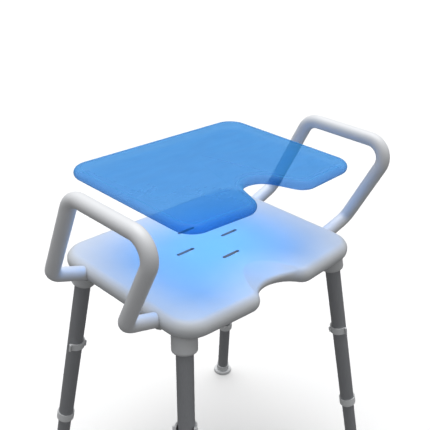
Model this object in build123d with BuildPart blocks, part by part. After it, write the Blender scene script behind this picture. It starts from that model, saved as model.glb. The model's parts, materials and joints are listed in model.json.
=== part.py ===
"""Height-adjustable shower stool with armrests and a loose soft seat pad.

Frame: millimetres, +Z up, origin on the floor under the middle of the stool.
The hygiene cut-out is at the front, towards -Y; +X is the right-hand side of
someone who stands in front of the stool and looks at it from -Y.
The four legs splay outwards, so each one is built on its own slanted axis.
"""
from math import cos, hypot, radians, sin, tan
import os

from build123d import *

# ---- seat ------------------------------------------------------------------
seat_height = 563.0          # top of the seat above the floor, as it stands
seat_width = 430.0
seat_back = 176.4            # rear edge, from the origin along +Y
seat_thickness = 33.0        # height of the rounded rim
seat_edge_radius = 16.0
seat_corner_radius = 50.0
seat_front_corner = 170.0    # front edge at the outer corners, along -Y
seat_front_lobe = 179.0      # front edge beside the cut-out, along -Y
seat_notch_depth = 39.0      # cut-out, measured from the lobes
seat_notch_radius = 60.0
seat_notch_flank = 34.5      # half angle of the cut-out's two flanks, degrees
seat_lobe_radius = 26.0
deck_thickness = 5.0
rim_width = 15.0             # solid width of the rim round the hollow underside
rib_thickness = 3.0
rib_height = 15.0
rib_spacing_x = 88.0         # lengthways ribs, four of them
rib_shifts = (-30.0, 30.0, 86.0)   # cross ribs, from the drain slots' centre

# shallow dish that leads down to the cut-out
dish_start = 92.0            # where it begins, along -Y
dish_radius = 92.0
dish_slope = 17.0            # degrees
dish_edge_radius = 8.0
dish_run = 400.0             # long enough to run out past the front edge

# drain slots: one each side, one in front of and one behind their centre
slot_length = 40.0
slot_width = 7.0
slot_centre_y = 11.0
slot_spread_x = 54.0
slot_spread_y = 60.0

# ---- soft pad, shown lifted off the seat -----------------------------------
pad_width = 390.0
pad_back = 152.0
pad_front_corner = 158.0
pad_front_lobe = 166.5
pad_thickness = 17.6
pad_edge_radius = 8.0
pad_corner_radius = 38.0
pad_notch_depth = 78.5
pad_notch_radius = 36.0
pad_notch_flank = 21.0
pad_lobe_radius = 32.0
pad_lift = 140.8             # clear height between the seat and the lifted pad

# ---- legs ------------------------------------------------------------------
leg_x = 181.0                # leg axes where they cross the seat's top plane
leg_y = 128.0
splay_x = 0.124              # outward run per unit of drop
splay_y = 0.156
outer_tube_od = 28.6
outer_tube_wall = 1.25
inner_tube_wall = 1.6
clip_height = 359.7          # height of the spring clip and of its stud
collar_top = 181.0           # upper rim of the collar at the outer tube's end
hole_pitch = 25.0            # spacing of the height holes
holes_below = 5              # holes below and above the one in use
holes_above = 1
hole_diameter = 8.0
inner_tube_spare = 18.0      # inner tube left above its top hole
tube_slip = 0.35             # radial gap between the two leg tubes

# ---- leg sockets -----------------------------------------------------------
socket_wall = 7.0            # round the outer tube
socket_bottom = 496.0
socket_top = 553.0
socket_web = 4.0
socket_edge_radius = 6.0
boss_wall = 4.0

# ---- end collars and feet --------------------------------------------------
collar_wall = 2.5            # round the outer tube
collar_length = 19.0
collar_lap = 14.0            # length of the collar that grips the outer tube
collar_bore_gap = 0.05       # radial gap in which the inner tube runs
collar_edge_radius = 3.0
foot_flare = 6.75            # base, beyond the body all round
foot_base_height = 8.0
foot_base_radius = 3.5
foot_sole_radius = 1.0
foot_wall = 2.55             # body, round the inner tube
foot_height = 25.0
foot_sole = 1.0              # rubber below the slanted body
foot_tube_sole = 3.5         # rubber under the tube's end
foot_rim_radius = 1.2

# ---- spring clips ----------------------------------------------------------
clip_band = 14.0             # width of the band along the leg
clip_wall = 3.6
clip_gap = 0.2
clip_reach = 7.0             # straight sides beyond the middle of the tube
clip_lip = 3.0               # out-turned lip
clip_lip_radius = 1.5
stud_diameter = 7.4
stud_reach = 1.0             # stud's tip, past the inner tube's wall
button_diameter = 11.0
button_height = 2.8
button_radius = 1.4

# ---- armrests --------------------------------------------------------------
arm_tube_od = 25.4
arm_tube_wall = 1.6
arm_x = 271.3                # plane of each armrest hoop
arm_height = 736.9           # centre line of the top bar
arm_half_span = 98.4         # half the spacing of the two uprights
arm_splay = 0.05             # prongs spread by this much per unit of outward run
arm_lean = 0.5               # forward run per unit of rise of the uprights
arm_elbow_height = 565.0
arm_rise = 0.32              # rise per unit of outward run of the lower prongs
arm_front_top_radius = 32.0
arm_rear_top_radius = 38.0
arm_elbow_radius = 22.0
arm_end_inset = 47.0         # prong ends, in from the seat's side edge

# ---- armrest clamps --------------------------------------------------------
clamp_wall = 3.4             # half-round clamp under each prong
clamp_inset = 7.0            # clamp's outer end, in from the seat's side edge
clamp_relief = 0.2           # gap between the clamp and the seat
saddle_wall = 2.4            # saddle block beside the clamp
saddle_height = 30.0         # saddle block over each prong, up into the deck
arm_bore_fit = 0.1           # radial gap round the prong
arm_screw_inset = 10.0       # screws, from the clamp's outer end
arm_screw_pitch = 20.0
arm_screw_recess = 1.4       # depth of the seats for the screw heads
clamp_edge_radius = 2.0

# ---- fasteners -------------------------------------------------------------
socket_bolt_diameter = 8.0
socket_bolt_head = 14.0
socket_bolt_head_height = 5.0
socket_bolt_grip = 4.0       # length of thread in the deck above the socket
arm_screw_diameter = 4.8
arm_screw_head = 9.0
arm_screw_head_height = 2.6
arm_screw_grip = 2.5         # length of thread in the saddle block
pin_diameter = 5.0           # cross pin that holds each leg tube in its socket
pin_head_diameter = 9.0
pin_head_height = 2.2
pin_height = 508.0           # height of the cross pins above the floor

os.makedirs("parts", exist_ok=True)

SIDES = {"left": -1, "right": 1}
CORNERS = {
    "front_left": (-1, -1),
    "front_right": (1, -1),
    "rear_left": (-1, 1),
    "rear_right": (1, 1),
}
deck_bottom = seat_height - deck_thickness
seat_bottom = seat_height - seat_thickness
socket_od = outer_tube_od + 2 * socket_wall
collar_od = outer_tube_od + 2 * collar_wall
outer_bore = outer_tube_od / 2 - outer_tube_wall
inner_tube_radius = outer_bore - tube_slip
foot_body_od = 2 * (inner_tube_radius + foot_wall)
foot_base_od = foot_body_od + 2 * foot_flare
arm_bore = arm_tube_od / 2 + arm_bore_fit
clamp_od = 2 * (arm_bore + clamp_wall)


def save(piece, name):
    """Label one finished piece and write it as its own file."""
    piece.part.label = name
    export_step(piece.part, f"parts/{name}.step")


def panel_outline(half_width, back, front_corner, front_lobe, corner_radius,
                  notch_depth, notch_radius, notch_flank, lobe_radius):
    """Closed outline of a seat panel whose front edge has a rounded cut-out.

    The cut-out's flanks meet at a sharp vertex; rounding that vertex with
    notch_radius leaves a cut-out that is notch_depth deep.
    """
    flank = radians(notch_flank)
    vertex_y = -front_lobe + notch_depth - notch_radius + notch_radius / sin(flank)
    lobe_x = (vertex_y + front_lobe) * tan(flank)
    right_side = [(half_width, back), (half_width, -front_corner), (lobe_x, -front_lobe)]
    left_side = [(-x, y) for x, y in reversed(right_side)]
    points = [(0.0, vertex_y)] + left_side + right_side
    radii = [notch_radius, lobe_radius, corner_radius, corner_radius]
    radii += [corner_radius, corner_radius, lobe_radius]
    with BuildSketch() as outline:
        with BuildLine():
            FilletPolyline(*points, radius=radii, close=True)
        make_face()
    return outline.sketch


def leg_point(corner, height):
    """Point on a leg's slanted axis at a given height above the floor."""
    side_x, side_y = corner
    drop = seat_height - height
    return Vector(side_x * (leg_x + splay_x * drop), side_y * (leg_y + splay_y * drop), height)


def leg_plane(corner, height):
    """Plane square to a leg's axis: local +Z up the leg, local +X outwards."""
    side_x, side_y = corner
    up = Vector(-side_x * splay_x, -side_y * splay_y, 1.0)
    outwards = Vector(side_x * leg_x, side_y * leg_y, 0.0)
    return Plane(origin=leg_point(corner, height), x_dir=outwards, z_dir=up)


def cross_plane(corner, height):
    """Plane along a leg's axis: local +Z points inwards, local +X up the leg."""
    square = leg_plane(corner, height)
    return Plane(origin=square.origin, x_dir=square.z_dir, z_dir=-square.x_dir)


leg_stretch = hypot(1.0, splay_x, splay_y)   # length along a leg per unit of height
leg_tilt = hypot(splay_x, splay_y) / leg_stretch


# ---- seat shell ------------------------------------------------------------
def dish_plane():
    """Start of the dish cylinder's axis, which slopes down towards the front."""
    slope = radians(dish_slope)
    forward = Vector(0.0, -cos(slope), -sin(slope))
    upward = Vector(0.0, -sin(slope), cos(slope))
    start = Vector(0.0, -dish_start, seat_height) + upward * dish_radius
    return Plane(origin=start - forward * dish_run / 2, x_dir=(1, 0, 0), z_dir=forward)


def prong_plane(side_x, side_y, across_x):
    """Plane square to a prong: local +Z out along it, local +Y upwards.

    across_x is the distance from the stool's middle plane.
    """
    inset = arm_x - across_x
    origin = (side_x * across_x, side_y * (arm_half_span - arm_splay * inset),
              arm_elbow_height - arm_rise * inset)
    outwards = (side_x, side_y * arm_splay, arm_rise)
    return Plane(origin=origin, x_dir=(-outwards[1], outwards[0], 0), z_dir=outwards)


def prong_split_plane(side_x, side_y):
    """Plane through a prong's axis: local +X out along it, local +Z upwards.

    Its origin is at the prong's inner end.
    """
    inner_end = prong_plane(side_x, side_y, arm_end_x)
    return Plane(origin=inner_end.origin, x_dir=inner_end.z_dir, z_dir=inner_end.y_dir)


seat_edge_x = seat_width / 2
arm_end_x = seat_edge_x - arm_end_inset
clamp_x = seat_edge_x - clamp_inset
prong_stretch = hypot(1.0, arm_splay, arm_rise)   # length along a prong per unit of x
clamp_length = (clamp_x - arm_end_x) * prong_stretch
arm_screw_seat = clamp_od / 2 - arm_screw_recess
arm_screw_places = [clamp_length - arm_screw_inset - step * arm_screw_pitch for step in (0, 1)]

seat_outline = panel_outline(
    seat_edge_x, seat_back, seat_front_corner, seat_front_lobe, seat_corner_radius,
    seat_notch_depth, seat_notch_radius, seat_notch_flank, seat_lobe_radius)

# what is left out of the underside: everything but rim, deck, ribs and bosses
cavity_outline = panel_outline(
    seat_edge_x - rim_width, seat_back - rim_width, seat_front_corner - rim_width,
    seat_front_lobe - rim_width, seat_corner_radius - rim_width, seat_notch_depth,
    seat_notch_radius + rim_width, seat_notch_flank, seat_lobe_radius - rim_width)
with BuildPart() as cavity:
    extrude(Plane.XY.offset(seat_bottom) * cavity_outline, amount=seat_thickness - deck_thickness)
    with BuildSketch(dish_plane()):
        Circle(dish_radius + deck_thickness)
    extrude(amount=dish_run, mode=Mode.SUBTRACT)
    with BuildSketch(Plane.XY.offset(deck_bottom)):
        with GridLocations(rib_spacing_x, 0, 4, 1):
            Rectangle(rib_thickness, seat_width)
        with Locations(*[(0, slot_centre_y + shift) for shift in rib_shifts]):
            Rectangle(seat_width, rib_thickness)
    extrude(amount=-rib_height, mode=Mode.SUBTRACT)
    for corner in CORNERS.values():
        with BuildSketch(leg_plane(corner, seat_bottom)):
            Circle(socket_od / 2 + boss_wall)
        extrude(amount=seat_thickness, both=True, mode=Mode.SUBTRACT)
        with BuildSketch(prong_plane(*corner, arm_end_x)):
            with Locations((0, saddle_height / 2)):
                Rectangle(clamp_od + 2 * saddle_wall, saddle_height)
        extrude(amount=clamp_length, mode=Mode.SUBTRACT)

with BuildPart() as seat_shell:
    extrude(Plane.XY.offset(seat_bottom) * seat_outline, amount=seat_thickness)
    flat_faces = seat_shell.faces().sort_by(Axis.Z)
    fillet(flat_faces[0].edges() + flat_faces[-1].edges(), seat_edge_radius)
    with BuildSketch(dish_plane()):
        Circle(dish_radius)
    extrude(amount=dish_run, mode=Mode.SUBTRACT)
    # the dish has the largest radius of all the round faces
    dish_face = seat_shell.faces().filter_by(GeomType.CYLINDER).sort_by(SortBy.RADIUS)[-1]
    fillet(dish_face.edges(), dish_edge_radius)
    add(cavity.part, mode=Mode.SUBTRACT)
    with BuildSketch(Plane.XY.offset(seat_height)):
        with Locations((-slot_spread_x, slot_centre_y), (slot_spread_x, slot_centre_y),
                       (0, slot_centre_y - slot_spread_y), (0, slot_centre_y + slot_spread_y)):
            SlotOverall(slot_length, slot_width)
    extrude(amount=-seat_thickness, mode=Mode.SUBTRACT)
    for corner in CORNERS.values():
        socket_plane = leg_plane(corner, socket_top)
        with BuildSketch(socket_plane):
            Circle(socket_od / 2)
        extrude(amount=-2 * seat_thickness, mode=Mode.SUBTRACT)
        with BuildSketch(socket_plane):
            Circle(socket_bolt_diameter / 2)
        extrude(amount=socket_bolt_grip, mode=Mode.SUBTRACT)
        inner_end = prong_plane(*corner, arm_end_x)
        with BuildSketch(inner_end):
            Circle(arm_bore)
        extrude(amount=2 * clamp_length, mode=Mode.SUBTRACT)
        with BuildSketch(inner_end):
            Circle(clamp_od / 2 + clamp_relief)
            with Locations((0, clamp_od)):
                Rectangle(2 * clamp_od, 2 * clamp_od, mode=Mode.SUBTRACT)
        extrude(amount=clamp_length + clamp_relief, mode=Mode.SUBTRACT)
        with BuildSketch(prong_split_plane(*corner)):
            with Locations(*[(place, 0) for place in arm_screw_places]):
                Circle(arm_screw_diameter / 2)
        extrude(amount=arm_bore + arm_screw_grip, mode=Mode.SUBTRACT)
save(seat_shell, "seat_shell")

# ---- armrests and their clamps ---------------------------------------------
for side, side_x in SIDES.items():
    top_front_y = -arm_half_span - arm_lean * (arm_height - arm_elbow_height)
    top_back_y = arm_half_span - arm_lean * (arm_height - arm_elbow_height)
    route = [
        prong_plane(side_x, -1, arm_end_x).origin,
        (side_x * arm_x, -arm_half_span, arm_elbow_height),
        (side_x * arm_x, top_front_y, arm_height),
        (side_x * arm_x, top_back_y, arm_height),
        (side_x * arm_x, arm_half_span, arm_elbow_height),
        prong_plane(side_x, 1, arm_end_x).origin,
    ]
    bends = [arm_elbow_radius, arm_front_top_radius, arm_rear_top_radius, arm_elbow_radius]
    with BuildPart() as armrest:
        with BuildLine() as centre_line:
            FilletPolyline(*route, radius=bends)
        with BuildSketch(prong_plane(side_x, -1, arm_end_x)):
            Circle(arm_tube_od / 2)
            Circle(arm_tube_od / 2 - arm_tube_wall, mode=Mode.SUBTRACT)
        sweep(path=centre_line.wires()[0])
        for side_y in (-1, 1):
            with BuildSketch(prong_split_plane(side_x, side_y)):
                with Locations(*[(place, 0) for place in arm_screw_places]):
                    Circle(arm_screw_diameter / 2)
            extrude(amount=arm_tube_od, both=True, mode=Mode.SUBTRACT)
    save(armrest, f"armrest_{side}")

for name, corner in CORNERS.items():
    with BuildPart() as arm_clamp:
        with BuildSketch(prong_plane(*corner, arm_end_x)):
            Circle(clamp_od / 2)
            Circle(arm_bore, mode=Mode.SUBTRACT)
            with Locations((0, clamp_od / 2)):
                Rectangle(clamp_od, clamp_od, mode=Mode.SUBTRACT)
        extrude(amount=clamp_length)
        outer_rim = arm_clamp.faces().sort_by(Axis((0, 0, 0), (corner[0], 0, 0)))[-1].edges()
        fillet(outer_rim.filter_by(GeomType.CIRCLE).sort_by(SortBy.RADIUS)[-1], clamp_edge_radius)
        with BuildSketch(prong_split_plane(*corner)):
            with Locations(*[(place, 0) for place in arm_screw_places]):
                Circle(arm_screw_diameter / 2)
        extrude(amount=-clamp_od, mode=Mode.SUBTRACT)
        with BuildSketch(prong_split_plane(*corner).offset(-arm_screw_seat)):
            with Locations(*[(place, 0) for place in arm_screw_places]):
                Circle(arm_screw_head / 2 + clamp_relief)
        extrude(amount=-clamp_od, mode=Mode.SUBTRACT)
    save(arm_clamp, f"arm_clamp_{name}")

with BuildPart() as arm_screws:
    for corner in CORNERS.values():
        split = prong_split_plane(*corner)
        with BuildSketch(split.offset(-arm_screw_seat)):
            with Locations(*[(place, 0) for place in arm_screw_places]):
                Circle(arm_screw_diameter / 2)
        extrude(amount=arm_screw_seat + arm_bore + arm_screw_grip)
        with BuildSketch(split.offset(-arm_screw_seat)):
            with Locations(*[(place, 0) for place in arm_screw_places]):
                Circle(arm_screw_head / 2)
        extrude(amount=-arm_screw_head_height)
save(arm_screws, "arm_screws")

# ---- legs ------------------------------------------------------------------
tube_length = (socket_top - collar_top) * leg_stretch - socket_web + collar_lap
socket_length = (socket_top - socket_bottom) * leg_stretch
inner_tube_end = foot_tube_sole + inner_tube_radius * leg_tilt
inner_tube_top = clip_height + (holes_above * hole_pitch + inner_tube_spare) / leg_stretch
pin_length = socket_od / 2 - outer_bore

with BuildPart() as socket_bolts:
    for corner in CORNERS.values():
        web_bottom = leg_plane(corner, socket_top).offset(-socket_web)
        with BuildSketch(web_bottom):
            Circle(socket_bolt_diameter / 2)
        extrude(amount=socket_web + socket_bolt_grip)
        with BuildSketch(web_bottom):
            RegularPolygon(socket_bolt_head / 2, 6)
        extrude(amount=-socket_bolt_head_height)
save(socket_bolts, "socket_bolts")

with BuildPart() as tube_pins:
    for corner in CORNERS.values():
        with BuildSketch(cross_plane(corner, pin_height).offset(socket_od / 2)):
            Circle(pin_head_diameter / 2)
        extrude(amount=pin_head_height)
        with BuildSketch(cross_plane(corner, pin_height).offset(socket_od / 2)):
            Circle(pin_diameter / 2)
        extrude(amount=-pin_length)
save(tube_pins, "tube_pins")

for name, corner in CORNERS.items():
    with BuildPart() as socket:
        with BuildSketch(leg_plane(corner, socket_top)):
            Circle(socket_od / 2)
        extrude(amount=-socket_length)
        with BuildSketch(leg_plane(corner, socket_top).offset(-socket_web)):
            Circle(outer_tube_od / 2)
        extrude(amount=-socket_length, mode=Mode.SUBTRACT)
        with BuildSketch(leg_plane(corner, socket_top)):
            Circle(socket_bolt_diameter / 2)
        extrude(amount=-socket_web, mode=Mode.SUBTRACT)
        lower_rim = socket.edges().filter_by(GeomType.CIRCLE).group_by(Axis.Z)[0]
        fillet(lower_rim.sort_by(SortBy.RADIUS)[-1], socket_edge_radius)
        with BuildSketch(cross_plane(corner, pin_height)):
            Circle(pin_diameter / 2)
        extrude(amount=socket_od, mode=Mode.SUBTRACT)
    save(socket, f"leg_socket_{name}")

for name, corner in CORNERS.items():
    with BuildPart() as outer_tube:
        with BuildSketch(leg_plane(corner, socket_top).offset(-socket_web)):
            Circle(outer_tube_od / 2)
            Circle(outer_bore, mode=Mode.SUBTRACT)
        extrude(amount=-tube_length)
        with BuildSketch(cross_plane(corner, clip_height)):
            Circle(hole_diameter / 2)
        extrude(amount=outer_tube_od, mode=Mode.SUBTRACT)
        with BuildSketch(cross_plane(corner, pin_height)):
            Circle(pin_diameter / 2)
        extrude(amount=outer_tube_od, mode=Mode.SUBTRACT)
    save(outer_tube, f"outer_tube_{name}")

    with BuildPart() as collar:
        with BuildSketch(leg_plane(corner, collar_top)):
            Circle(collar_od / 2)
        extrude(amount=-collar_length)
        with BuildSketch(leg_plane(corner, collar_top)):
            Circle(outer_tube_od / 2)
        extrude(amount=-collar_lap, mode=Mode.SUBTRACT)
        with BuildSketch(leg_plane(corner, collar_top)):
            Circle(inner_tube_radius + collar_bore_gap)
        extrude(amount=-collar_length, mode=Mode.SUBTRACT)
        lower_rim = collar.edges().filter_by(GeomType.CIRCLE).group_by(Axis.Z)[0]
        fillet(lower_rim.sort_by(SortBy.RADIUS)[-1], collar_edge_radius)
    save(collar, f"end_collar_{name}")

    with BuildPart() as inner_tube:
        with BuildSketch(leg_plane(corner, inner_tube_end)):
            Circle(inner_tube_radius)
            Circle(inner_tube_radius - inner_tube_wall, mode=Mode.SUBTRACT)
        extrude(amount=(inner_tube_top - inner_tube_end) * leg_stretch)
        for step in range(-holes_below, holes_above + 1):
            with BuildSketch(cross_plane(corner, clip_height + step * hole_pitch / leg_stretch)):
                Circle(hole_diameter / 2)
            extrude(amount=outer_tube_od, mode=Mode.SUBTRACT)
    save(inner_tube, f"inner_tube_{name}")

    body_start = foot_sole + foot_body_od / 2 * leg_tilt
    with BuildPart() as foot:
        base_centre = leg_point(corner, body_start)
        with BuildSketch(Plane((base_centre.X, base_centre.Y, 0))):
            Circle(foot_base_od / 2)
        extrude(amount=foot_base_height)
        base_edges = foot.edges().sort_by(Axis.Z)
        fillet(base_edges[-1], foot_base_radius)
        fillet(foot.edges().sort_by(Axis.Z)[0], foot_sole_radius)
        with BuildSketch(leg_plane(corner, body_start)):
            Circle(foot_body_od / 2)
        extrude(amount=(foot_height - body_start) * leg_stretch)
        with BuildSketch(leg_plane(corner, inner_tube_end)):
            Circle(inner_tube_radius)
        extrude(amount=foot_height * leg_stretch, mode=Mode.SUBTRACT)
        upper_rim = foot.edges().filter_by(GeomType.CIRCLE).group_by(Axis.Z)[-1]
        fillet(upper_rim.sort_by(SortBy.RADIUS)[-1], foot_rim_radius)
    save(foot, f"foot_{name}")

# ---- spring clips ----------------------------------------------------------
clip_bore = outer_tube_od / 2 + clip_gap
clip_outer = clip_bore + clip_wall
stud_tip = inner_tube_radius - inner_tube_wall - stud_reach
side_middle = clip_bore + clip_wall / 2
lip_middle = clip_bore + (clip_wall + clip_lip) / 2

# half ring round the back of the tube, two straight sides and two out-turned lips
with BuildSketch() as clip_profile:
    Circle(clip_outer)
    Circle(clip_bore, mode=Mode.SUBTRACT)
    with Locations((clip_outer / 2, 0)):
        Rectangle(clip_outer, 2 * clip_outer, mode=Mode.SUBTRACT)
    with Locations((clip_reach / 2, side_middle), (clip_reach / 2, -side_middle)):
        Rectangle(clip_reach, clip_wall)
    with Locations((clip_reach + clip_wall / 2, lip_middle),
                   (clip_reach + clip_wall / 2, -lip_middle)):
        Rectangle(clip_wall, clip_wall + clip_lip)
    fillet(clip_profile.vertices().group_by(Axis.X)[-1], clip_lip_radius)

for name, corner in CORNERS.items():
    inwards = cross_plane(corner, clip_height)
    with BuildPart() as clip:
        extrude(leg_plane(corner, clip_height) * clip_profile.sketch,
                amount=clip_band / 2, both=True)
        with BuildSketch(inwards.offset(side_middle)):
            Circle(button_diameter / 2)
        extrude(amount=clip_wall / 2 + button_height)
        button_rim = clip.faces().sort_by(Axis(inwards.origin, inwards.z_dir))[-1].edges()
        fillet(button_rim, button_radius)
        with BuildSketch(inwards.offset(stud_tip)):
            Circle(stud_diameter / 2)
        extrude(amount=side_middle - stud_tip)
    save(clip, f"leg_clip_{name}")

# ---- seat pad --------------------------------------------------------------
pad_outline = panel_outline(
    pad_width / 2, pad_back, pad_front_corner, pad_front_lobe, pad_corner_radius,
    pad_notch_depth, pad_notch_radius, pad_notch_flank, pad_lobe_radius)
with BuildPart() as seat_pad:
    extrude(Plane.XY.offset(seat_height + pad_lift) * pad_outline, amount=pad_thickness)
    pad_faces = seat_pad.faces().sort_by(Axis.Z)
    fillet(pad_faces[0].edges() + pad_faces[-1].edges(), pad_edge_radius)
save(seat_pad, "seat_pad")
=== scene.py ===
"""Looks of a shower stool with two armrests, four telescopic legs and a lifted soft pad.

Everything is in metres, in the frame of the packed CAD model: +Z up, the floor at
z = 0, the hygiene cut-out at the front towards -Y.
"""

import json
from math import cos, radians, sin, tan

import bmesh
import bpy
from bpy.props import FloatProperty, FloatVectorProperty, PointerProperty
from mathutils import Matrix, Vector


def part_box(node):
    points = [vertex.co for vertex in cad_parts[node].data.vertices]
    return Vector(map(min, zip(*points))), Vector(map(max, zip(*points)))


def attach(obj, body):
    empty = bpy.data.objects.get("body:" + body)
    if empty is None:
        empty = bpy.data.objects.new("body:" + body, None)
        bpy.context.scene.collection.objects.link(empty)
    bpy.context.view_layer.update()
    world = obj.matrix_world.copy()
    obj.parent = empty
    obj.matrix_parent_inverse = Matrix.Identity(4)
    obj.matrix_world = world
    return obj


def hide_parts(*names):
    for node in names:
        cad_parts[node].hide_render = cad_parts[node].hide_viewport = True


bl_info = {
    "name": "Shower Stool",
    "version": (1, 0, 0),
    "blender": (4, 5, 0),
    "location": "View3D > Sidebar > Shower Stool",
    "description": "Finishes, soft pad and studio for a shower stool built in CAD",
    "category": "Object",
}

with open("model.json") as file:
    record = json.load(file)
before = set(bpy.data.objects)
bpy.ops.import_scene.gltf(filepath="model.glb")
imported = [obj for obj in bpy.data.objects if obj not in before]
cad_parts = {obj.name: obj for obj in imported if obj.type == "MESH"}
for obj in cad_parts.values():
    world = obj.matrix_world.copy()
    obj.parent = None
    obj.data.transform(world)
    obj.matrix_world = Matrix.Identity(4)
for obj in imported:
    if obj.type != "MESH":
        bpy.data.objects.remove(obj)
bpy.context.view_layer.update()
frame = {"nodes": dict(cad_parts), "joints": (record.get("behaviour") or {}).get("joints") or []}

MM = 0.001
CORNERS = ("front_left", "front_right", "rear_left", "rear_right")
SIDES = ("left", "right")
pad_low, pad_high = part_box("seat_pad")

# sockets of a colour Mix node, which share their names with its other data types
MIX_A, MIX_B, MIX_RESULT = 6, 7, 2
# part of a noise node's range that the blotches use
NOISE_LOW, NOISE_HIGH = 0.3, 0.7
# rings of faces between the moulded line and the middle of the pad
CROWN_RINGS = 14
# moulded line in the pad's top: how far inside the rounded edge, and share of its depth
GROOVE_PROFILE = ((2.0, 0.0), (3.2, 0.5), (4.2, 1.0), (5.4, 0.5), (6.8, 0.0))
# flat border of the pad's underside, inside the rounded edge
UNDER_BORDER = 6 * MM
# gap between the underside of the pad and the blue lamp
LAMP_GAP = 4 * MM
# heights on the unit sky between which its light grows from ground to sky strength
GROUND_LEVEL, SKY_LEVEL = -0.5, 0.6


def from_hex(code):
    """Linear colour of an sRGB hex value."""
    channels = [int(code[at:at + 2], 16) / 255 for at in (1, 3, 5)]
    return tuple(c / 12.92 if c <= 0.04045 else ((c + 0.055) / 1.055) ** 2.4
                 for c in channels)


# ---- settings ----------------------------------------------------------------
def colour(name, description, code):
    """A colour setting whose default is an sRGB hex value."""
    return FloatVectorProperty(name=name, description=description, subtype="COLOR",
                               size=3, min=0, max=1, default=from_hex(code))


def length(name, description, millimetres):
    """A length setting whose default is in millimetres."""
    return FloatProperty(name=name, description=description, subtype="DISTANCE",
                         unit="LENGTH", min=0, default=millimetres * MM)


class SeatSettings(bpy.types.PropertyGroup):
    """Finish of the moulded seat."""
    base: colour("Plastic", "Colour of the moulded seat", "#CED1D4")
    grain: length("Grain", "Spacing of the moulded skin's grain", 2.4)


class ArmrestSettings(bpy.types.PropertyGroup):
    """Finish of the two armrest hoops."""
    base: colour("Powder coat", "Colour of the coated tube", "#DCDEE1")
    peel: length("Orange peel", "Spacing of the coat's ripples", 3.0)


class LegSettings(bpy.types.PropertyGroup):
    """Finish of the telescopic leg tubes."""
    base: colour("Anodising", "Colour of the anodised tubes", "#9C9EA2")
    line: length("Drawing lines", "Spacing of the fine lines along a tube", 1.2)


class FittingSettings(bpy.types.PropertyGroup):
    """Finishes of the plastic and rubber fittings and of the screws."""
    socket: colour("Sockets", "Colour of the leg sockets and armrest clamps", "#CBCDCF")
    clip: colour("Clips", "Colour of the spring clips and end collars", "#DBDDDF")
    foot: colour("Feet", "Colour of the rubber feet", "#D6D8DA")
    steel: colour("Screws", "Colour of the stainless screws and pins", "#C4C4C2")
    grain: length("Grain", "Spacing of the fittings' satin grain", 1.5)


class PadSettings(bpy.types.PropertyGroup):
    """Shape and finish of the loose soft pad."""
    corner_radius: length("Corner radius", "Radius of the four outer corners", 38)
    lobe_radius: length("Lobe radius", "Radius beside the cut-out", 32)
    corner_setback: length("Corner setback", "Front corners behind the lobes", 8.5)
    notch_depth: length("Cut-out depth", "Depth of the cut-out from the lobes", 78.5)
    notch_radius: length("Cut-out radius", "Radius of the cut-out's inner end", 36)
    notch_flank: FloatProperty(
        name="Cut-out flank", description="Half angle between the cut-out's flanks",
        subtype="ANGLE", unit="ROTATION", default=radians(21))
    edge_radius: length("Edge radius", "Radius of the rim's upper and lower edge", 8)
    crown: length("Crown", "Rise of the middle over the rim", 1.4)
    groove: length("Groove", "Depth of the moulded line inside the rim", 0.6)
    spacing: length("Mesh spacing", "Spacing of the points round the rim", 3.5)
    gel: colour("Gel", "Colour that the pad's gel reflects", "#1890D0")
    tint: colour("Tint", "Colour of the light that passes one skin", "#B0D2F4")
    body: FloatProperty(
        name="Body", description="Share of light that one skin stops, seen square on",
        subtype="FACTOR", min=0, max=1, default=0.22)
    edge_body: FloatProperty(
        name="Edge body", description="Share of light that one skin stops along its outline",
        subtype="FACTOR", min=0, max=1, default=0.85)


class StageSettings(bpy.types.PropertyGroup):
    """Floor, lamps and camera."""
    floor: colour("Floor", "Colour of the floor", "#EDEDED")
    floor_size: FloatProperty(name="Floor size", description="Side of the square floor",
                              unit="LENGTH", default=40.0)
    sky: FloatProperty(name="Sky", description="Strength of the even light from above",
                       min=0, default=0.50)
    ground: FloatProperty(name="Ground", description="Strength of the light from below",
                          min=0, default=0.17)
    overhead: FloatProperty(name="Overhead light", description="Strength of the wide soft "
                            "light from above", min=0, default=2.6)
    overhead_spread: FloatProperty(name="Overhead spread", description="Angle that the "
                                   "soft light from above fills", subtype="ANGLE",
                                   unit="ROTATION", default=radians(60))
    overhead_from: FloatVectorProperty(name="Overhead from", description="Direction that "
                                       "the light from above comes from",
                                       subtype="DIRECTION", size=3,
                                       default=(0.10, 0.15, 1.0))
    glow: FloatProperty(name="Glow", description="Power of the blue lamp that shines "
                        "from under the lifted pad on the seat", unit="POWER",
                        min=0, default=0.46)
    glow_size: FloatVectorProperty(name="Glow size", description="Width and depth of the "
                                   "blue lamp", unit="LENGTH", size=2, default=(0.24, 0.20))
    glow_colour: colour("Glow colour", "Colour of the lamp under the pad", "#18A0FF")
    place: FloatVectorProperty(name="Camera", description="Place of the camera",
                               subtype="TRANSLATION", unit="LENGTH", size=3,
                               default=(-0.74827, -0.78097, 1.16018))
    turn: FloatProperty(name="Turn", description="Turn of the view from +Y",
                        subtype="ANGLE", unit="ROTATION", default=radians(-47.76))
    tilt: FloatProperty(name="Tilt", description="Fall of the view below level",
                        subtype="ANGLE", unit="ROTATION", default=radians(30.385))
    roll: FloatProperty(name="Roll", description="Roll of the camera about its view",
                        subtype="ANGLE", unit="ROTATION", default=radians(2.722))
    lens: FloatProperty(name="Lens", description="Focal length", subtype="DISTANCE_CAMERA",
                        unit="CAMERA", default=56.68)
    shift: FloatVectorProperty(name="Shift", description="Shift of the frame", size=2,
                               default=(-0.0873, 0.1112))


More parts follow.
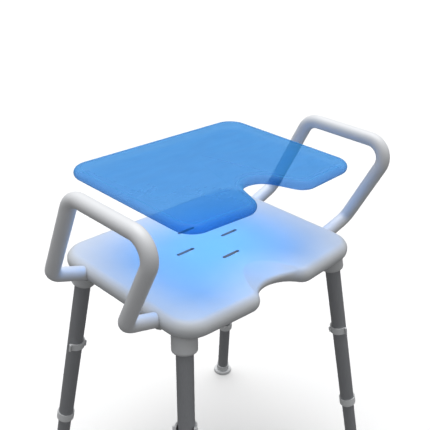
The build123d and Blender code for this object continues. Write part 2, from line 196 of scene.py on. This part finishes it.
# ---- material tools ------------------------------------------------------------
def add_node(owner, kind, inputs=(), **settings):
    """Add one node with its settings; inputs maps socket names to values or outputs."""
    made = owner.node_tree.nodes.new(kind)
    for name, value in settings.items():
        setattr(made, name, value)
    for name, value in dict(inputs).items():
        if isinstance(value, bpy.types.NodeSocket):
            owner.node_tree.links.new(value, made.inputs[name])
        else:
            made.inputs[name].default_value = value
    return made


def new_material(name):
    """An empty node material."""
    material = bpy.data.materials.new(name)
    material.use_nodes = True
    material.node_tree.nodes.clear()
    return material


def opaque(rgb):
    """A colour with full alpha, as colour sockets want it."""
    return (*rgb, 1.0)


def shade(rgb, factor):
    """A lighter or darker copy of a colour."""
    return tuple(min(c * factor, 1.0) for c in rgb)


def along_axis(material, axis, stretch):
    """Object coordinates turned so that axis is Z, and squeezed along it by stretch."""
    place = add_node(material, "ShaderNodeTexCoord").outputs["Object"]
    turn = axis.rotation_difference(Vector((0, 0, 1))).to_euler()
    return add_node(material, "ShaderNodeMapping",
                    {"Vector": place, "Rotation": turn, "Scale": (1, 1, stretch)}
                    ).outputs["Vector"]


def mottled(material, place, spacing, low, high, detail=3.0):
    """A value that wanders between low and high in blotches of the given spacing."""
    noise = add_node(material, "ShaderNodeTexNoise",
                     {"Vector": place, "Scale": 1 / spacing, "Detail": detail})
    return add_node(material, "ShaderNodeMapRange",
                    {"Value": noise.outputs["Fac"], "From Min": NOISE_LOW,
                     "From Max": NOISE_HIGH, "To Min": low, "To Max": high}).outputs["Result"]


def toned(material, place, spacing, rgb, spread, detail=3.0):
    """rgb with soft blotches that are spread lighter and darker."""
    share = mottled(material, place, spacing, 0.0, 1.0, detail)
    mix = add_node(material, "ShaderNodeMix", {"Factor": share}, data_type="RGBA")
    mix.inputs[MIX_A].default_value = opaque(shade(rgb, 1 - spread))
    mix.inputs[MIX_B].default_value = opaque(shade(rgb, 1 + spread))
    return mix.outputs[MIX_RESULT]


def finish_with(material, shader, values):
    """Set the shader's sockets and join it to the material's output."""
    body = add_node(material, "ShaderNodeBsdfPrincipled", values)
    surface = body.outputs["BSDF"] if shader is None else shader(body.outputs["BSDF"])
    add_node(material, "ShaderNodeOutputMaterial", {"Surface": surface})
    return material


def painted_hollow_shade(material, rgb, depth, least):
    """rgb with painted shade: darker in slots, crevices and corners, where nearby surfaces hide
    the light.
    """
    hollow = add_node(material, "ShaderNodeAmbientOcclusion", {"Distance": depth},
                      samples=4)
    share = add_node(material, "ShaderNodeMapRange",
                     {"Value": hollow.outputs["AO"], "From Min": 0.35, "From Max": 0.85,
                      "To Min": least, "To Max": 1.0}).outputs["Result"]
    mix = add_node(material, "ShaderNodeMix", {"Factor": share}, data_type="RGBA")
    mix.inputs[MIX_A].default_value = opaque((0, 0, 0))
    material.node_tree.links.new(rgb, mix.inputs[MIX_B])
    return mix.outputs[MIX_RESULT]


def moulded_plastic(name, rgb, grain, roughness):
    """Satin moulded plastic: a fine leather-like grain from the etched mould.

    The real grain is about 0.4 mm; it is drawn coarser, or it would not show.
    """
    material = new_material(name)
    place = add_node(material, "ShaderNodeTexCoord").outputs["Object"]
    cells = add_node(material, "ShaderNodeTexVoronoi",
                     {"Vector": place, "Scale": 1 / grain}, feature="SMOOTH_F1")
    bump = add_node(material, "ShaderNodeBump",
                    {"Height": cells.outputs["Distance"], "Strength": 0.25,
                     "Distance": 0.12 * MM})
    return finish_with(material, None, {
        # painted shade: the base colour is made darker in slots and corners
        "Base Color": painted_hollow_shade(material, toned(material, place, 45 * MM, rgb, 0.02),
                               8 * MM, 0.12),
        "Roughness": mottled(material, place, 18 * MM, roughness - 0.05, roughness + 0.05),
        "IOR": 1.49,
        "Normal": bump.outputs["Normal"],
    })


def moulded_rubber(name, rgb, grain):
    """Matt moulded rubber: dull, slightly dusty, with a soft fine grain."""
    material = new_material(name)
    place = add_node(material, "ShaderNodeTexCoord").outputs["Object"]
    noise = add_node(material, "ShaderNodeTexNoise",
                     {"Vector": place, "Scale": 1 / grain, "Detail": 4.0})
    bump = add_node(material, "ShaderNodeBump",
                    {"Height": noise.outputs["Fac"], "Strength": 0.35,
                     "Distance": 0.15 * MM})
    return finish_with(material, None, {
        "Base Color": toned(material, place, 12 * MM, rgb, 0.05),
        "Roughness": mottled(material, place, 8 * MM, 0.62, 0.78),
        "IOR": 1.52,
        "Normal": bump.outputs["Normal"],
    })


def powder_coat(name, rgb, peel):
    """Powder-coated tube: even satin paint with the shallow ripple of orange peel."""
    material = new_material(name)
    place = add_node(material, "ShaderNodeTexCoord").outputs["Object"]
    ripple = add_node(material, "ShaderNodeTexNoise",
                      {"Vector": place, "Scale": 1 / peel, "Detail": 1.5})
    bump = add_node(material, "ShaderNodeBump",
                    {"Height": ripple.outputs["Fac"], "Strength": 0.2,
                     "Distance": 0.15 * MM})
    return finish_with(material, None, {
        "Base Color": toned(material, place, 60 * MM, rgb, 0.015),
        "Roughness": mottled(material, place, 25 * MM, 0.34, 0.44),
        "IOR": 1.5,
        "Normal": bump.outputs["Normal"],
    })


def anodised_aluminium(name, rgb, line, axis):
    """Anodised drawn aluminium tube: satin dark metal with faint lines along it.

    The lines are the marks of the drawing die, seen through the oxide layer. Real ones
    are about 0.1 mm apart; they are drawn coarser, or they would not show. The dyed
    oxide hides part of the metal, so the tube is less metallic than bare aluminium.
    """
    material = new_material(name)
    drawn = along_axis(material, axis, 0.015)
    lines = add_node(material, "ShaderNodeTexNoise",
                     {"Vector": drawn, "Scale": 1 / line, "Detail": 4.0})
    bump = add_node(material, "ShaderNodeBump",
                    {"Height": lines.outputs["Fac"], "Strength": 0.15,
                     "Distance": 0.05 * MM})
    return finish_with(material, None, {
        "Base Color": toned(material, drawn, line, rgb, 0.06, 4.0),
        "Metallic": 0.45,
        "Roughness": mottled(material, drawn, 2 * line, 0.42, 0.52),
        "Normal": bump.outputs["Normal"],
    })


def stainless_steel(name, rgb):
    """Turned and tumbled stainless steel of small screws: bright, faintly scuffed."""
    material = new_material(name)
    place = add_node(material, "ShaderNodeTexCoord").outputs["Object"]
    return finish_with(material, None, {
        "Base Color": toned(material, place, 4 * MM, rgb, 0.05),
        "Metallic": 1.0,
        "Roughness": mottled(material, place, 1 * MM, 0.25, 0.4),
    })


def cast_gel(name, rgb, tint, body, edge_body):
    """Cast translucent polyurethane gel: clear blue depth under a satin skin.

    Light that passes a skin is tinted, so the seat below gets a blue shadow.
    """
    material = new_material(name)
    place = add_node(material, "ShaderNodeTexCoord").outputs["Object"]
    flow = add_node(material, "ShaderNodeMapping",
                    {"Vector": place, "Scale": (0.35, 1, 1)}).outputs["Vector"]
    ripple = add_node(material, "ShaderNodeTexNoise",
                      {"Vector": flow, "Scale": 1 / (6 * MM), "Detail": 3.0})
    bump = add_node(material, "ShaderNodeBump",
                    {"Height": ripple.outputs["Fac"], "Strength": 0.12,
                     "Distance": 0.3 * MM})
    clear = add_node(material, "ShaderNodeBsdfTransparent", {"Color": opaque(tint)})
    facing = add_node(material, "ShaderNodeLayerWeight", {"Blend": 0.5})
    steep = add_node(material, "ShaderNodeMath", {0: facing.outputs["Facing"], 1: 2.6},
                     operation="POWER")
    share = add_node(material, "ShaderNodeMapRange",
                     {"Value": steep.outputs["Value"], "To Min": body,
                      "To Max": edge_body}).outputs["Result"]

    def mixed(skin):
        mix = add_node(material, "ShaderNodeMixShader", {"Fac": share})
        material.node_tree.links.new(clear.outputs["BSDF"], mix.inputs[1])
        material.node_tree.links.new(skin, mix.inputs[2])
        return mix.outputs["Shader"]

    return finish_with(material, mixed, {
        "Base Color": toned(material, flow, 14 * MM, rgb, 0.05),
        "Roughness": mottled(material, flow, 20 * MM, 0.38, 0.5),
        "IOR": 1.47,
        "Normal": bump.outputs["Normal"],
    })


def dress(node, material):
    """Give a CAD node its finish."""
    thing = frame["nodes"][node]
    if not thing.material_slots:
        raise RuntimeError(f"{node} has no material slot")
    for place in thing.material_slots:
        place.material = material


# ---- soft pad -------------------------------------------------------------------
def rounded_outline(points, radii, spacing):
    """Points and inward normals round a closed polygon with rounded corners.

    The polygon runs clockwise seen from above. Offsetting each point along its
    normal gives an even inset, as long as it is less than the outer radii.
    """
    outline = []
    count = len(points)
    for at in range(count):
        here = Vector(points[at])
        before = (Vector(points[at - 1]) - here).normalized()
        after = (Vector(points[(at + 1) % count]) - here).normalized()
        half = before.angle(after) / 2
        middle = (before + after).normalized()
        centre = here + middle * (radii[at] / sin(half))
        start = here + before * (radii[at] / tan(half)) - centre
        turn = start.angle_signed(here + after * (radii[at] / tan(half)) - centre)
        steps = max(int(abs(turn) * radii[at] / spacing), 4)
        inward = -1 if turn > 0 else 1
        for step in range(steps + 1):
            arm = Matrix.Rotation(-turn * step / steps, 2) @ start
            outline.append((centre + arm, arm.normalized() * inward))
    filled = []
    for at, (here, normal) in enumerate(outline):
        ahead, next_normal = outline[(at + 1) % len(outline)]
        filled.append((here, normal))
        steps = int((ahead - here).length / spacing)
        for step in range(1, steps):
            share = step / steps
            filled.append((here.lerp(ahead, share), normal.lerp(next_normal, share)))
    return filled


def pad_section(settings, bottom, top):
    """Inset and height of each ring over the rim, from the underside to the top."""
    radius = settings.edge_radius
    rim_top = top - settings.crown
    arc = [radians(angle) for angle in range(0, 91, 15)]
    under = [(radius * (1 - sin(a)), bottom + radius * (1 - cos(a))) for a in arc]
    over = [(radius * (1 - cos(a)), rim_top - radius * (1 - sin(a))) for a in arc]
    line = [(radius + inset * MM, rim_top - settings.groove * share)
            for inset, share in GROOVE_PROFILE]
    return [(radius + UNDER_BORDER, bottom)] + under + over + line


def build_pad(settings):
    """Closed crowned slab with a rounded rim, a moulded line inside it and a cut-out."""
    half, back, front = pad_high.x, pad_high.y, pad_low.y
    flank = settings.notch_flank
    apex = (front + settings.notch_depth - settings.notch_radius
            + settings.notch_radius / sin(flank))
    lobe = (apex - front) * tan(flank)
    corner = front + settings.corner_setback
    points = [(0, apex), (-lobe, front), (-half, corner), (-half, back),
              (half, back), (half, corner), (lobe, front)]
    radii = [settings.notch_radius, settings.lobe_radius] + [settings.corner_radius] * 4
    radii += [settings.lobe_radius]
    outline = rounded_outline(points, radii, settings.spacing)
    section = pad_section(settings, pad_low.z, pad_high.z)
    centre = Vector((0, (back + apex) / 2))
    mesh = bmesh.new()

    def ring(inset, height):
        return [mesh.verts.new((*(place + normal * inset), height))
                for place, normal in outline]

    def to_centre(rim_ring, height, rise):
        inner = []
        for step in range(1, CROWN_RINGS):
            share = step / CROWN_RINGS
            lift = rise * share * share * (3 - 2 * share)
            inner.append([mesh.verts.new((*v.co.xy.lerp(centre, share), height + lift))
                          for v in rim_ring])
        return inner

    rings = [ring(inset, height) for inset, height in section]
    low_rings = to_centre(rings[0], pad_low.z, 0)[::-1]
    high_rings = to_centre(rings[-1], pad_high.z - settings.crown, settings.crown)
    rings = low_rings + rings + high_rings
    around = len(outline)
    for lower, upper in zip(rings, rings[1:]):
        for at in range(around):
            nxt = (at + 1) % around
            mesh.faces.new((lower[at], lower[nxt], upper[nxt], upper[at]))
    for rim, height in ((rings[0], pad_low.z), (rings[-1], pad_high.z)):
        tip = mesh.verts.new((*centre, height))
        for at in range(around):
            mesh.faces.new((rim[at], rim[(at + 1) % around], tip))
    bmesh.ops.recalc_face_normals(mesh, faces=mesh.faces)
    data = bpy.data.meshes.new("gel_pad")
    mesh.to_mesh(data)
    mesh.free()
    data.shade_smooth()
    pad = bpy.data.objects.new("gel_pad", data)
    bpy.context.scene.collection.objects.link(pad)
    return pad


# ---- operators ------------------------------------------------------------------
class STOOL_OT_stage(bpy.types.Operator):
    """Make the floor, the soft lamps and the camera"""
    bl_idname = "stool.stage"
    bl_label = "Stage"

    def execute(self, context):
        settings = context.scene.stool_stage
        floor_data = bpy.data.meshes.new("floor")
        edge = settings.floor_size / 2
        floor_data.from_pydata([(-edge, -edge, 0), (edge, -edge, 0),
                                (edge, edge, 0), (-edge, edge, 0)], [], [(0, 1, 2, 3)])
        floor = bpy.data.objects.new("floor", floor_data)
        context.scene.collection.objects.link(floor)
        paper = new_material("seamless_paper_matt")
        place = add_node(paper, "ShaderNodeTexCoord").outputs["Object"]
        finish_with(paper, None, {
            "Base Color": toned(paper, place, 2.0, settings.floor, 0.005),
            "Roughness": 0.9,
        })
        floor_data.materials.append(paper)
        # the floor throws no light back, so that undersides stay darker than tops
        floor.visible_diffuse = floor.visible_glossy = False

        world = bpy.data.worlds.new("soft_studio")
        world.use_nodes = True
        world.node_tree.nodes.clear()
        direction = add_node(world, "ShaderNodeTexCoord").outputs["Generated"]
        height = add_node(world, "ShaderNodeSeparateXYZ", {"Vector": direction})
        strength = add_node(world, "ShaderNodeMapRange",
                            {"Value": height.outputs["Z"], "From Min": GROUND_LEVEL,
                             "From Max": SKY_LEVEL, "To Min": settings.ground,
                             "To Max": settings.sky})
        # the backdrop itself is plain white; the gradient is only the light it gives
        seen = add_node(world, "ShaderNodeLightPath").outputs["Is Camera Ray"]
        backdrop = add_node(world, "ShaderNodeMath",
                            {0: strength.outputs["Result"], 1: seen},
                            operation="MAXIMUM")
        sky = add_node(world, "ShaderNodeBackground",
                       {"Color": (1, 1, 1, 1), "Strength": backdrop.outputs["Value"]})
        add_node(world, "ShaderNodeOutputWorld", {"Surface": sky.outputs["Background"]})
        context.scene.world = world

        overhead = self.lamp(context, "overhead_light", "SUN", settings.overhead,
                             settings.overhead_from)
        overhead.data.angle = settings.overhead_spread
        glow = self.lamp(context, "glow_under_pad", "AREA", settings.glow,
                         (0, 0, pad_low.z - LAMP_GAP))
        glow.data.shape = "RECTANGLE"
        glow.data.size, glow.data.size_y = settings.glow_size
        glow.data.color = settings.glow_colour
        glow.visible_camera = False
        self.camera(context, settings)
        context.scene.view_settings.view_transform = "Standard"
        return {"FINISHED"}

    def lamp(self, context, name, kind, power, place):
        """A lamp that shines from a place towards the middle of the floor."""
        data = bpy.data.lights.new(name, kind)
        data.energy = power
        lamp = bpy.data.objects.new(name, data)
        lamp.location = place
        lamp.rotation_euler = Vector(place).to_track_quat("Z", "Y").to_euler()
        context.scene.collection.objects.link(lamp)
        return lamp

    def camera(self, context, settings):
        """The camera, turned, tilted and rolled."""
        data = bpy.data.cameras.new("camera")
        data.sensor_width = 36.0
        data.lens = settings.lens
        data.shift_x, data.shift_y = settings.shift
        camera = bpy.data.objects.new("camera", data)
        camera.location = settings.place
        turned = (Matrix.Rotation(settings.turn, 3, "Z")
                  @ Matrix.Rotation(radians(90) - settings.tilt, 3, "X")
                  @ Matrix.Rotation(settings.roll, 3, "Z"))
        camera.rotation_euler = turned.to_euler()
        context.scene.collection.objects.link(camera)
        context.scene.camera = camera


class STOOL_OT_seat(bpy.types.Operator):
    """Finish the moulded seat"""
    bl_idname = "stool.seat"
    bl_label = "Seat"

    def execute(self, context):
        settings = context.scene.stool_seat
        dress("seat_shell", moulded_plastic(
            "polypropylene_moulded_white", settings.base, settings.grain, 0.42))
        return {"FINISHED"}


class STOOL_OT_armrests(bpy.types.Operator):
    """Finish the two armrest hoops"""
    bl_idname = "stool.armrests"
    bl_label = "Armrests"

    def execute(self, context):
        settings = context.scene.stool_armrests
        coat = powder_coat("aluminium_powder_coated_white", settings.base, settings.peel)
        for side in SIDES:
            dress(f"armrest_{side}", coat)
        return {"FINISHED"}


class STOOL_OT_legs(bpy.types.Operator):
    """Finish the outer and inner tubes of the four legs"""
    bl_idname = "stool.legs"
    bl_label = "Legs"

    def execute(self, context):
        settings = context.scene.stool_legs
        axes = {j["name"]: Vector(j["axis"]) for j in frame["joints"]}
        for corner in CORNERS:
            metal = anodised_aluminium(
                f"aluminium_anodised_grey_{corner}", settings.base, settings.line,
                axes[f"leg_extend_{corner}"])
            dress(f"outer_tube_{corner}", metal)
            dress(f"inner_tube_{corner}", metal)
        return {"FINISHED"}


class STOOL_OT_sockets(bpy.types.Operator):
    """Finish the leg sockets and the armrest clamps"""
    bl_idname = "stool.sockets"
    bl_label = "Sockets and Clamps"

    def execute(self, context):
        settings = context.scene.stool_fittings
        nylon = moulded_plastic("nylon_moulded_grey", settings.socket, settings.grain, 0.48)
        for corner in CORNERS:
            dress(f"leg_socket_{corner}", nylon)
            dress(f"arm_clamp_{corner}", nylon)
        return {"FINISHED"}


class STOOL_OT_clips(bpy.types.Operator):
    """Finish the spring clips and the end collars"""
    bl_idname = "stool.clips"
    bl_label = "Clips and Collars"

    def execute(self, context):
        settings = context.scene.stool_fittings
        acetal = moulded_plastic("acetal_moulded_grey", settings.clip, settings.grain, 0.4)
        for corner in CORNERS:
            dress(f"leg_clip_{corner}", acetal)
            dress(f"end_collar_{corner}", acetal)
        return {"FINISHED"}


class STOOL_OT_feet(bpy.types.Operator):
    """Finish the rubber feet"""
    bl_idname = "stool.feet"
    bl_label = "Feet"

    def execute(self, context):
        settings = context.scene.stool_fittings
        rubber = moulded_rubber("rubber_moulded_grey", settings.foot, settings.grain)
        for corner in CORNERS:
            dress(f"foot_{corner}", rubber)
        return {"FINISHED"}


class STOOL_OT_fasteners(bpy.types.Operator):
    """Finish the screws, bolts and pins"""
    bl_idname = "stool.fasteners"
    bl_label = "Fasteners"

    def execute(self, context):
        settings = context.scene.stool_fittings
        steel = stainless_steel("stainless_steel_turned", settings.steel)
        for node in ("arm_screws", "socket_bolts", "tube_pins"):
            dress(node, steel)
        return {"FINISHED"}


class STOOL_OT_pad(bpy.types.Operator):
    """Build and finish the loose soft pad"""
    bl_idname = "stool.pad"
    bl_label = "Soft Pad"

    def execute(self, context):
        settings = context.scene.stool_pad
        pad = build_pad(settings)
        pad.data.materials.append(cast_gel(
            "polyurethane_gel_cast_blue", settings.gel, settings.tint, settings.body,
            settings.edge_body))
        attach(pad, "pad")
        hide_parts("seat_pad")
        return {"FINISHED"}


class STOOL_PT_panel(bpy.types.Panel):
    """Lists the settings and the operators in the sidebar"""
    bl_idname = "STOOL_PT_panel"
    bl_label = "Shower Stool"
    bl_space_type = "VIEW_3D"
    bl_region_type = "UI"
    bl_category = "Shower Stool"

    def draw(self, context):
        for name, group in SETTINGS.items():
            box = self.layout.box()
            box.label(text=group.__doc__)
            for prop in group.__annotations__:
                box.prop(getattr(context.scene, name), prop)
        for operator in OPERATORS:
            self.layout.operator(operator.bl_idname)


SETTINGS = {
    "stool_seat": SeatSettings,
    "stool_armrests": ArmrestSettings,
    "stool_legs": LegSettings,
    "stool_fittings": FittingSettings,
    "stool_pad": PadSettings,
    "stool_stage": StageSettings,
}
OPERATORS = (STOOL_OT_stage, STOOL_OT_seat, STOOL_OT_armrests, STOOL_OT_legs,
             STOOL_OT_sockets, STOOL_OT_clips, STOOL_OT_feet, STOOL_OT_fasteners,
             STOOL_OT_pad)


def register():
    """Register the classes and hang the settings on the scene."""
    for group in (*SETTINGS.values(), *OPERATORS, STOOL_PT_panel):
        bpy.utils.register_class(group)
    for name, group in SETTINGS.items():
        setattr(bpy.types.Scene, name, PointerProperty(type=group))


def unregister():
    """Take the settings off the scene and remove the classes."""
    for name in SETTINGS:
        delattr(bpy.types.Scene, name)
    for group in (STOOL_PT_panel, *reversed(OPERATORS), *SETTINGS.values()):
        bpy.utils.unregister_class(group)


def main():
    """Dress and light the whole stool."""
    register()
    bpy.ops.stool.stage()
    bpy.ops.stool.seat()
    bpy.ops.stool.armrests()
    bpy.ops.stool.legs()
    bpy.ops.stool.sockets()
    bpy.ops.stool.clips()
    bpy.ops.stool.feet()
    bpy.ops.stool.fasteners()
    bpy.ops.stool.pad()


if __name__ == "__main__":
    main()
